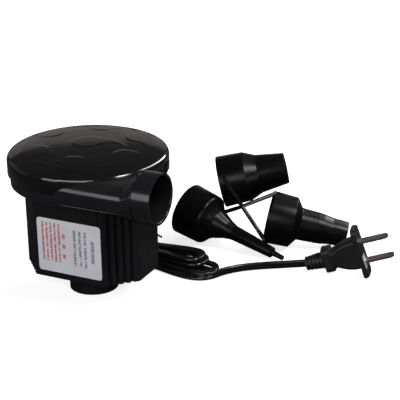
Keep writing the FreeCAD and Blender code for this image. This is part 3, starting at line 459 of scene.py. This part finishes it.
# ------------------------------------------------------------------ mesh helpers
def add_piece(name: str, mesh: bpy.types.Mesh, finish: Finish, body: str,
              replaces: Sequence[str] = (), smooth: float = 40.0) -> bpy.types.Object:
    """Link a finished mesh as a piece that rides on a body.

    Args:
        name: the piece's name.
        mesh: its mesh, already in place.
        finish: the finish it wears.
        body: the body that it rides on.
        replaces: the nodes that it stands for.
        smooth: the angle in degrees past which an edge stays sharp.

    Returns:
        The new object.
    """
    piece = bpy.data.objects.new(name, mesh)
    bpy.context.scene.collection.objects.link(piece)
    mesh.materials.clear()
    mesh.materials.append(finish.material())
    mesh.shade_smooth()
    mesh.set_sharp_from_angle(angle=math.radians(smooth))
    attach(piece, body)
    if replaces:
        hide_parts(*replaces)
    log.info("%s: %d faces", name, len(mesh.polygons))
    return piece


def mesh_from(name: str, form: bmesh.types.BMesh, place: Optional[Matrix] = None,
              recalculate: bool = True) -> bpy.types.Mesh:
    """Return a mesh from a bmesh, put in place, with its normals outwards."""
    bmesh.ops.remove_doubles(form, verts=form.verts, dist=1e-6)
    if recalculate:
        bmesh.ops.recalc_face_normals(form, faces=form.faces)
    if place is not None:
        bmesh.ops.transform(form, matrix=place, verts=form.verts)
    mesh = bpy.data.meshes.new(name)
    form.to_mesh(mesh)
    form.free()
    return mesh


def copy_of(node: str) -> bpy.types.Mesh:
    """Return a merged copy of a node's mesh."""
    form = bmesh.new()
    form.from_mesh(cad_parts[node].data)
    bmesh.ops.remove_doubles(form, verts=form.verts, dist=2e-6)
    mesh = bpy.data.meshes.new(node + "_copy")
    form.to_mesh(mesh)
    form.free()
    return mesh


def softened(node: str, width: float = 0.3, sharp: float = 34.0) -> bpy.types.Mesh:
    """Return a copy of a node's mesh with a small round on its sharp edges.

    Args:
        node: the node to copy.
        width: width of the round in mm.
        sharp: the angle in degrees from which an edge gets a round.

    Returns:
        The mesh.
    """
    form = bmesh.new()
    form.from_mesh(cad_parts[node].data)
    bmesh.ops.remove_doubles(form, verts=form.verts, dist=2e-6)
    bmesh.ops.dissolve_limit(form, angle_limit=math.radians(0.6), verts=form.verts,
                             edges=form.edges)
    edges = [e for e in form.edges if len(e.link_faces) == 2
             and e.calc_face_angle(0.0) > math.radians(sharp)]
    bmesh.ops.bevel(form, geom=edges, offset=width * MM, offset_type="OFFSET", segments=2,
                    profile=0.5, affect="EDGES", clamp_overlap=True)
    return mesh_from(node + "_soft", form)


def even_normals(piece: bpy.types.Object) -> None:
    """Give wide flat faces their own normals up to the rounds beside them."""
    weights = piece.modifiers.new("weights", "WEIGHTED_NORMAL")
    weights.weight = 90
    weights.keep_sharp = True
    depsgraph = bpy.context.evaluated_depsgraph_get()
    mesh = bpy.data.meshes.new_from_object(piece.evaluated_get(depsgraph))
    piece.modifiers.clear()
    old = piece.data
    mesh.name = old.name + "_even"
    piece.data = mesh
    bpy.data.meshes.remove(old)


def spun(name: str, profile: Sequence[tuple[float, float]], place: Matrix,
         steps: int = 96) -> bpy.types.Mesh:
    """Return a body turned about its own X axis from (station, radius) pairs in mm.

    Args:
        name: the mesh's name.
        profile: the closed outline, in order.
        place: where its X axis goes.
        steps: the number of steps round.

    Returns:
        The mesh.
    """
    form = bmesh.new()
    verts = [form.verts.new(mm(s, 0.0, r)) for s, r in profile]
    edges = [form.edges.new(pair) for pair in zip(verts, verts[1:] + verts[:1])]
    bmesh.ops.spin(form, geom=verts + edges, cent=(0, 0, 0), axis=(1, 0, 0), angle=math.tau,
                   steps=steps, use_merge=True)
    return mesh_from(name, form, place)


def rounded(profile: Sequence[tuple[float, float, float]],
            steps: int = 6) -> list[tuple[float, float]]:
    """Return a closed outline with each corner rounded to its own radius.

    Args:
        profile: (station, radius, corner radius) in mm, in order.
        steps: points along each rounded corner.

    Returns:
        The outline's points.
    """
    points: list[tuple[float, float]] = []
    count = len(profile)
    for i, (x, y, corner) in enumerate(profile):
        here = Vector((x, y))
        if corner <= 0.0:
            points.append((x, y))
            continue
        back = Vector(profile[i - 1][:2]) - here
        ahead = Vector(profile[(i + 1) % count][:2]) - here
        reach_back, reach_ahead = back.length, ahead.length
        back.normalize()
        ahead.normalize()
        half = back.angle(ahead) / 2
        trim = min(corner / math.tan(half), reach_back * 0.49, reach_ahead * 0.49)
        start, end = here + back * trim, here + ahead * trim
        for k in range(steps + 1):
            t = k / steps
            spot = start.lerp(here, t).lerp(here.lerp(end, t), t)
            points.append((spot.x, spot.y))
    return points


def along_axis(start: Point, heading: float, pitch: float) -> Matrix:
    """Return the place of a piece whose X axis leaves a point at a heading and rise."""
    turn = Matrix.Rotation(math.radians(heading), 4, "Z") @ Matrix.Rotation(
        math.radians(-pitch), 4, "Y")
    return Matrix.Translation(mm(*start)) @ turn


# ------------------------------------------------------------------ studio
@dataclass(frozen=True)
class Lamp:
    """One soft rectangular lamp that faces a target, its height along a direction."""

    name: str
    place: Point
    target: Point
    size: tuple[float, float]
    power: float
    colour: tuple[float, float, float] = (1.0, 1.0, 1.0)
    along: Point = (0.0, 0.0, 1.0)

    def build(self) -> None:
        """Hang the lamp in the scene."""
        data = bpy.data.lights.new(self.name, "AREA")
        data.shape = "RECTANGLE"
        data.size, data.size_y = self.size
        data.energy = self.power
        data.color = self.colour
        lamp = bpy.data.objects.new(self.name, data)
        bpy.context.scene.collection.objects.link(lamp)
        back = (Vector(self.place) - Vector(self.target)).normalized()
        side = Vector(self.along).cross(back).normalized()
        turn = Matrix((side, back.cross(side), back)).transposed().to_4x4()
        lamp.matrix_world = Matrix.Translation(Vector(self.place)) @ turn


PUMP_CENTRE: Point = (0.03, 0.0, 0.05)
LID_CENTRE: Point = (0.0, 0.0, 0.09)
NOZZLE_CENTRE: Point = (0.10, 0.08, 0.03)


@dataclass
class Studio:
    """Camera, floor and soft lamps."""

    eye: Point = (0.369245, -0.608921, 0.338766)
    azimuth: float = 26.0466
    elevation: float = 21.8951
    roll: float = -0.8874
    focal: float = 117.0
    floor_size: float = 3.0
    floor_drop: float = 0.0002
    room: float = 0.06
    lamps: tuple[Lamp, ...] = (
        Lamp("key", (0.25, -1.30, 0.66), PUMP_CENTRE, (1.2, 0.6), 9.5),
        Lamp("front_left", (-0.47, -1.07, 0.42), PUMP_CENTRE, (0.5, 0.50), 2.6,
             (0.95, 0.94, 1.0)),
        Lamp("strip", (0.334, 0.685, 0.55), (0.04, 0.0, 0.085), (0.16, 0.75), 4.6,
             along=(0.42, -0.68, 0.53)),
        Lamp("card", (-1.05, 1.65, 0.40), LID_CENTRE, (1.7, 0.75), 0.85, (1.0, 0.90, 0.85)),
        Lamp("overhead", (0.784, 0.008, 1.014), NOZZLE_CENTRE, (0.24, 0.45), 8.5,
             along=(-0.58, 0.66, 0.48)),
        Lamp("side", (1.15, -0.45, 0.30), (0.06, 0.0, 0.04), (0.3, 0.3), 1.0),
        Lamp("left_fill", (-1.20, -0.05, 0.35), (-0.04, 0.0, 0.05), (1.2, 0.8), 0.4),
    )

    def camera(self) -> None:
        """Make the camera and use it."""
        data = bpy.data.cameras.new("camera")
        data.lens = self.focal
        data.sensor_width = 36.0
        data.clip_start = 0.01
        camera = bpy.data.objects.new("camera", data)
        bpy.context.scene.collection.objects.link(camera)
        az, el, roll = (math.radians(v) for v in (self.azimuth, self.elevation, self.roll))
        ahead = Vector((-math.sin(az) * math.cos(el), math.cos(az) * math.cos(el), -math.sin(el)))
        right = Vector((math.cos(az), math.sin(az), 0.0))
        up = right.cross(ahead)
        right, up = (right * math.cos(roll) + up * math.sin(roll),
                     up * math.cos(roll) - right * math.sin(roll))
        turn = Matrix((right, up, -ahead)).transposed().to_4x4()
        camera.matrix_world = Matrix.Translation(Vector(self.eye)) @ turn
        bpy.context.scene.camera = camera

    def floor(self) -> None:
        """Lay the white floor and set the white surroundings."""
        form = bmesh.new()
        bmesh.ops.create_grid(form, x_segments=8, y_segments=8, size=self.floor_size)
        bmesh.ops.translate(form, verts=form.verts, vec=(0.0, 0.0, -self.floor_drop))
        mesh = mesh_from("floor", form, recalculate=False)
        mesh.materials.append(Finish.FLOOR.material())
        floor = bpy.data.objects.new("floor", mesh)
        bpy.context.scene.collection.objects.link(floor)
        world = bpy.data.worlds.new("world")
        bpy.context.scene.world = world
        world.use_nodes = True
        tree = world.node_tree
        tree.nodes.clear()
        output = tree.nodes.new("ShaderNodeOutputWorld")
        mix = tree.nodes.new("ShaderNodeMixShader")
        ray = tree.nodes.new("ShaderNodeLightPath")
        room = tree.nodes.new("ShaderNodeBackground")
        room.inputs["Color"].default_value = (0.96, 0.97, 1.0, 1.0)
        room.inputs["Strength"].default_value = self.room
        white = tree.nodes.new("ShaderNodeBackground")
        white.inputs["Strength"].default_value = 1.0
        tree.links.new(ray.outputs["Is Camera Ray"], mix.inputs[0])
        tree.links.new(room.outputs[0], mix.inputs[1])
        tree.links.new(white.outputs[0], mix.inputs[2])
        tree.links.new(mix.outputs[0], output.inputs[0])

    def build(self) -> None:
        """Build the whole studio."""
        scene = bpy.context.scene
        scene.view_settings.view_transform = "Standard"
        self.camera()
        self.floor()
        for lamp in self.lamps:
            lamp.build()
        log.info("studio: %d lamps", len(self.lamps))


# ------------------------------------------------------------------ cord
@dataclass
class PowerCord:
    """Flat twin cord: gland, folded hank and the lead to the plug."""

    width: float = 4.9
    thickness: float = 2.5
    waist_x: float = 10.0
    levels: tuple[float, ...] = (9.0, 6.45, 3.9, 1.35)
    exit: Point = (-9.0, 53.8, 22.0)
    edge_turn: tuple[int, ...] = (1, 3, 5, 6, 6, 6, 6, 6)
    knee: float = 0.414

    def turn_right(self, x: float, y: float, r: float, z: float) -> list[Point]:
        """Return the control points of a fold at the right end."""
        k = self.knee * r
        return [(x + k, y - r, z), (x + r, y - k, z), (x + r, y + k, z), (x + k, y + r, z)]

    def turn_left(self, x: float, y: float, r: float, z: float, drop: float) -> list[Point]:
        """Return the control points of a fold at the left end that sinks to the next level."""
        k = self.knee * r
        return [(x - k, y + r, z), (x - r, y + k, z - drop * 0.35), (x - r, y - k, z - drop * 0.7),
                (x - k, y - r, z - drop)]

    def route(self) -> list[Point]:
        """Return the control points from the gland to the plug, in mm."""
        points: list[Point] = [self.exit, (-9.0, 67.0, 21.0), (-19.3, 77.3, 15.5),
                               (-33.7, 77.3, 12.5), (-44.0, 67.0, 10.5), (-44.0, 52.0, 9.4)]
        right = ((42.0, 44.8, 7.6), (43.8, 44.3, 8.2), (52.0, 40.2, 8.7), (53.2, 39.0, 6.0))
        left = ((-38.0, 45.6, 6.6), (-39.0, 46.0, 7.2), (-37.5, 45.4, 5.6), (-39.5, 45.6, 7.4))
        front = (42.6, 42.4, 43.0, 43.2)
        back = (48.6, 48.8, 48.4, 48.2)
        points.append((-38.0, 41.6, self.levels[0]))
        for k, z in enumerate(self.levels):
            cx, cy, r = right[k]
            points += [(-14.0, front[k], z), (self.waist_x, front[k], z),
                       (27.0, (front[k] + cy - r) / 2, z)]
            points += self.turn_right(cx, cy, r, z)
            points += [(27.0, (back[k] + cy + r) / 2, z), (self.waist_x, back[k], z),
                       (-14.0, back[k], z)]
            lx, ly, lr = left[k]
            drop = self.levels[k] - self.levels[min(k + 1, 3)]
            points += self.turn_left(lx, ly, lr, z, drop)
        z = self.levels[-1]
        points += [(-14.0, 40.2, z), (10.0, 38.4, z), (27.0, 34.6, z), (41.0, 30.6, z + 0.3),
                   (53.5, 29.6, z + 0.9), (61.5, 34.4, 2.6), (65.4, 43.4, 2.6), (73.0, 52.6, 2.6),
                   (84.0, 60.8, 2.6), (96.5, 67.0, 3.0), (108.5, 70.9, 4.5)]
        return points

    def spline(self, name: str, points: Sequence[Point],
               tilts: Sequence[float]) -> bpy.types.Object:
        """Return a curve of one open NURBS spline through control points in mm."""
        data = bpy.data.curves.new(name, "CURVE")
        data.dimensions = "3D"
        data.twist_mode = "Z_UP"
        data.resolution_u = 8
        line = data.splines.new("NURBS")
        line.points.add(len(points) - 1)
        for spot, place, tilt in zip(line.points, points, tilts):
            spot.co = (*mm(*place), 1.0)
            spot.tilt = tilt
        line.order_u = 3
        line.use_endpoint_u = True
        curve = bpy.data.objects.new(name, data)
        bpy.context.scene.collection.objects.link(curve)
        return curve

    def section(self) -> bpy.types.Object:
        """Return the cord's outline: two round cores side by side with a shallow groove."""
        data = bpy.data.curves.new("cord_section", "CURVE")
        data.dimensions = "2D"
        line = data.splines.new("POLY")
        core = self.thickness / 2
        offset = self.width / 2 - core
        spots: list[tuple[float, float]] = []
        for side in (1, -1):
            for step in range(9):
                a = math.radians(-68.0 + step * 17.0)
                spots.append((side * (offset + core * math.cos(a)), side * core * math.sin(a)))
            spots.append((side * 0.35, side * core * 0.74))
            spots.append((-side * 0.35, side * core * 0.74))
        line.points.add(len(spots) - 1)
        for spot, (x, y) in zip(line.points, spots):
            spot.co = (x * MM, y * MM, 0.0, 1.0)
        line.use_cyclic_u = True
        section = bpy.data.objects.new("cord_section", data)
        bpy.context.scene.collection.objects.link(section)
        return section

    def build(self) -> None:
        points = self.route()
        tilts = [0.0] * len(points)
        tilts[-len(self.edge_turn):] = [math.pi * turn / 12 for turn in self.edge_turn]
        guide = self.spline("cord_guide", points, tilts)
        bpy.context.view_layer.update()
        depsgraph = bpy.context.evaluated_depsgraph_get()
        line = bpy.data.meshes.new_from_object(guide.evaluated_get(depsgraph))
        section = self.section()
        guide.data.bevel_mode = "OBJECT"
        guide.data.bevel_object = section
        guide.data.use_fill_caps = True
        bpy.context.view_layer.update()
        depsgraph = bpy.context.evaluated_depsgraph_get()
        swept = bpy.data.meshes.new_from_object(guide.evaluated_get(depsgraph))
        form = bmesh.new()
        form.from_mesh(swept)
        mesh = mesh_from("mains_cord", form)
        for spare in (guide, section):
            data = spare.data
            bpy.data.objects.remove(spare)
            bpy.data.curves.remove(data)
        for spare_mesh in (line, swept):
            bpy.data.meshes.remove(spare_mesh)
        cord = add_piece("mains_cord", mesh, Finish.CORD, "pump",
                         ("cord_tail", "cord_hank", "cord_lead"), smooth=60.0)
        plug = add_piece("plug_body_skin", softened("plug_body"), Finish.PLUG, "pump",
                         ("plug_body",), smooth=50.0)
        even_normals(plug)
        tuple(mm(*self.exit))


# ------------------------------------------------------------------ nozzles
@dataclass
class Nozzle:
    """One push-on nozzle: a socket, a shoulder and a tapering neck."""

    name: str
    start: Point
    heading: float
    pitch: float
    outline: tuple[tuple[float, float, float], ...]
    wall: float = 1.4

    def build(self) -> None:
        """Spin the nozzle about its axis and put it in place."""
        inner = [(s + (0.4 if 0 < i < len(self.outline) - 1 and r > 6 else 0.0),
                  max(r - self.wall, r * 0.5), c) for i, (s, r, c) in enumerate(self.outline)]
        mesh = spun(self.name, rounded(list(self.outline) + inner[::-1]),
                    along_axis(self.start, self.heading, self.pitch))
        piece = add_piece(self.name + "_shell", mesh, Finish.NOZZLE, "nozzle_set", (self.name,))


@dataclass
class NozzleSet:
    """The three nozzles and their tethers."""

    nozzles: tuple[Nozzle, ...] = (
        Nozzle("nozzle_fine", (19.4, 87.7, 19.82), -8.8, -13.65,
               ((0.0, 16.8, 0.4), (17.2, 16.2, 1.2), (18.4, 15.7, 1.0), (19.5, 14.3, 1.4),
                (21.3, 12.2, 3.0), (24.5, 9.6, 6.0), (28.3, 8.0, 8.0), (32.5, 6.1, 8.0),
                (37.5, 4.75, 12.0), (66.6, 3.5, 0.4), (67.1, 1.9, 0.3), (74.8, 1.5, 0.3))),
        Nozzle("nozzle_medium", (72.4, 97.4, 19.3), 20.3, -12.8,
               ((0.0, 16.9, 0.4), (15.8, 16.2, 0.5), (16.2, 16.0, 0.3), (20.2, 10.4, 0.8),
                (31.6, 9.9, 6.0), (35.0, 9.6, 6.0), (38.0, 9.1, 6.0), (41.0, 8.6, 6.0),
                (50.8, 8.15, 0.4))),
        Nozzle("nozzle_wide", (33.65, 109.5, 32.7), 23.7, 12.9,
               ((0.0, 16.85, 0.4), (17.4, 16.15, 1.2), (19.0, 15.4, 1.2), (25.3, 12.6, 1.2),
                (43.6, 10.0, 0.4))),
    )
    swell: float = 0.3

    def build(self) -> None:
        """Build each nozzle and finish the tethers."""
        for nozzle in self.nozzles:
            nozzle.build()
        bars = copy_of("nozzle_tether")
        for vertex in bars.vertices:
            vertex.co += vertex.normal * (self.swell * MM)
        tether = add_piece("nozzle_tether_bars", bars, Finish.TETHER, "nozzle_set",
                           ("nozzle_tether",))


# ------------------------------------------------------------------ pump
@dataclass
class Lid:
    """The polished cap over the blower: a shallow dome with seven raised drops."""

    dome: tuple[tuple[float, float], ...] = (
        (0.0, 91.2), (8.0, 91.12), (16.0, 90.83), (25.0, 90.25), (32.0, 89.4), (38.0, 88.3),
        (42.0, 87.25), (44.4, 86.38), (45.6, 85.75), (46.4, 85.0), (46.85, 84.2), (47.0, 83.2))
    radius: float = 47.0
    bottom: float = 75.2
    wall: float = 1.2
    inside: tuple[tuple[float, float], ...] = (
        (43.8, 83.6), (43.8, 84.4), (38.0, 86.3), (25.0, 88.25), (0.4, 89.2))
    hub: float = 0.25
    shoulder: float = 42.0
    edge_rings: int = 40
    relief_end: float = 44.6
    relief_step: float = 2.6
    rise: float = 0.2
    head: float = 8.8
    tail: float = 22.5
    ring: float = 32.0
    first: float = -16.0
    rings: int = 190
    spokes: int = 384

    def arc(self, start: Point, middle: Point, end: Point, steps: int) -> list[Vector]:
        """Return points of the arc through three flat points, without the last."""
        a, b, c = (Vector(p[:2]) for p in (start, middle, end))
        d = 2 * (a.x * (b.y - c.y) + b.x * (c.y - a.y) + c.x * (a.y - b.y))
        ux = (a.length_squared * (b.y - c.y) + b.length_squared * (c.y - a.y)
              + c.length_squared * (a.y - b.y)) / d
        uy = (a.length_squared * (c.x - b.x) + b.length_squared * (a.x - c.x)
              + c.length_squared * (b.x - a.x)) / d
        centre = Vector((ux, uy))
        radius = (a - centre).length
        angles = [math.atan2(p.y - uy, p.x - ux) for p in (a, b, c)]
        forward = (angles[1] - angles[0]) % math.tau < (angles[2] - angles[0]) % math.tau
        sweep = (angles[2] - angles[0]) % math.tau - (0.0 if forward else math.tau)
        return [centre + radius * Vector((math.cos(angles[0] + sweep * k / steps),
                                          math.sin(angles[0] + sweep * k / steps)))
                for k in range(steps)]

    def outline(self) -> list[Vector]:
        """Return the closed outline of one drop with its head at the origin."""
        r, tail = self.head, self.tail
        tip = (-tail, r * 0.42, 0.0)
        neck = (-r * 0.62, r * 0.78, 0.0)
        points = self.arc(neck, (r * 0.71, r * 0.71, 0.0), (0.0, -r, 0.0), 26)
        points += self.arc((0.0, -r, 0.0), (-tail * 0.53, -r * 0.68, 0.0), tip, 16)
        points += self.arc(tip, (-tail * 0.53, r * 0.10, 0.0), neck, 16)
        return points

    def places(self) -> list[tuple[float, float, float]]:
        """Return each drop's head and the turn of its outline in degrees."""
        found = [(0.0, 0.0, 200.0)]
        for i in range(6):
            angle = 60.0 * i + self.first
            a = math.radians(angle)
            found.append((self.ring * math.cos(a), self.ring * math.sin(a), angle + 90.0))
        return found

    def relief(self, x: np.ndarray, y: np.ndarray) -> np.ndarray:
        """Return the drops' height in mm at flat points."""
        outline = np.array([tuple(p) for p in self.outline()])
        height = np.zeros_like(x)
        for cx, cy, turn in self.places():
            a = math.radians(turn)
            u = (x - cx) * math.cos(a) + (y - cy) * math.sin(a)
            v = (y - cy) * math.cos(a) - (x - cx) * math.sin(a)
            near = np.full_like(x, 1e9)
            inside = np.zeros(x.shape, dtype=bool)
            for (px, py), (qx, qy) in zip(outline, np.roll(outline, -1, axis=0)):
                ex, ey = qx - px, qy - py
                t = np.clip(((u - px) * ex + (v - py) * ey) / (ex * ex + ey * ey), 0.0, 1.0)
                near = np.minimum(near, np.hypot(u - px - t * ex, v - py - t * ey))
                crosses = (py > v) != (qy > v)
                reach = px + (v - py) * ex / (ey if abs(ey) > 1e-9 else 1e-9)
                inside ^= crosses & (u < reach)
            step = np.clip(np.where(inside, near, -near) / self.relief_step + 0.5, 0.0, 1.0)
            height = np.maximum(height, step * step * (3.0 - 2.0 * step) * self.rise)
        return height

    def build(self) -> None:
        """Build the cap as rings of points from the middle to the rim and round inside."""
        known = np.array(self.dome)
        reach = np.concatenate([
            np.linspace(self.hub, self.shoulder, self.rings - self.edge_rings),
            np.linspace(self.shoulder + 0.2, self.radius, self.edge_rings)])
        top = np.interp(reach, known[:, 0], known[:, 1])
        for _ in range(6):
            top[1:-1] = (top[:-2] + 2.0 * top[1:-1] + top[2:]) / 4.0
        angles = np.arange(self.spokes) * math.tau / self.spokes
        fade = np.clip(self.relief_end - reach, 0.0, 1.0)
        under = self.radius - self.wall
        below = [(self.radius, self.bottom + 0.3), (self.radius - 0.3, self.bottom),
                 (under, self.bottom), (under, self.inside[0][1]), *self.inside]
        form = bmesh.new()
        rows: list[list[bmesh.types.BMVert]] = []
        for r, z, part in zip(reach, top, fade):
            x, y = r * np.cos(angles), r * np.sin(angles)
            lift = self.relief(x, y) * part
            rows.append([form.verts.new(mm(a, b, z + c)) for a, b, c in zip(x, y, lift)])
        for r, z in below:
            rows.append([form.verts.new(mm(r * math.cos(a), r * math.sin(a), z)) for a in angles])
        for first, second in zip(rows, rows[1:]):
            for k in range(self.spokes):
                j = (k + 1) % self.spokes
                form.faces.new((first[k], second[k], second[j], first[j]))
        form.faces.new(rows[0])
        form.faces.new(rows[-1][::-1])
        mesh = mesh_from("lid_cap", form)
        piece = add_piece("lid_cap", mesh, Finish.LID, "pump", ("lid",), smooth=50.0)


@dataclass
class Pump:
    """The pump's housings and everything inside them."""

    copies: dict[str, tuple[Finish, str]] = field(default_factory=lambda: {
        "blower_housing": (Finish.CASING, "semi_gloss_black_plastic"),
        "motor_housing": (Finish.BODY, "satin_black_plastic"),
        "label_plate": (Finish.LABEL, "silver_label"),
    })
    finishes: dict[str, Finish] = field(default_factory=lambda: {
        "inlet_grille": Finish.BODY, "cord_gland": Finish.CORD, "twist_tie": Finish.CORD,
        "plug_face": Finish.INSERT, "plug_blades": Finish.BLADE,
        "cord_clamp": Finish.NYLON, "impeller": Finish.NYLON, "impeller_nut": Finish.ZINC,
        "motor_shaft": Finish.ZINC, "housing_screws": Finish.ZINC, "lid_screws": Finish.ZINC,
        "motor_mount_screws": Finish.ZINC, "motor_screws": Finish.ZINC,
        "upper_bearing": Finish.ZINC, "lower_bearing": Finish.ZINC,
        "upper_motor_bracket": Finish.NYLON, "lower_motor_bracket": Finish.NYLON,
        "rubber_mounts": Finish.RUBBER, "stator_core": Finish.LAMINATION,
        "armature_core": Finish.LAMINATION, "field_coils": Finish.WINDING,
        "armature_windings": Finish.WINDING, "commutator": Finish.COPPER,
        "brush_holders": Finish.COPPER, "carbon_brushes": Finish.CARBON,
        "brush_springs": Finish.ZINC, "brush_caps": Finish.COPPER,
        "thermal_cutout": Finish.PALE, "switch_body": Finish.BODY, "rocker": Finish.CASING,
        "switch_terminals": Finish.COPPER, "internal_leads": Finish.INSULATION,
    })

    def build(self) -> None:
        """Dress the nodes and replace those that need soft shading."""
        Lid().build()
        for node, (finish, slot) in self.copies.items():
            piece = add_piece(node + "_skin", softened(node), finish, "pump", (node,), smooth=50.0)
            even_normals(piece)
        for node, finish in self.finishes.items():
            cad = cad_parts[node]
            cad.data.materials.clear()
            cad.data.materials.append(finish.material())
        log.info("dressed %d nodes", len(self.finishes))


def main() -> None:
    """Build the scene in order: camera, cord, nozzles, pump."""
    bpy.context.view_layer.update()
    Studio().build()
    PowerCord().build()
    NozzleSet().build()
    Pump().build()


if __name__ == "__main__":
    main()
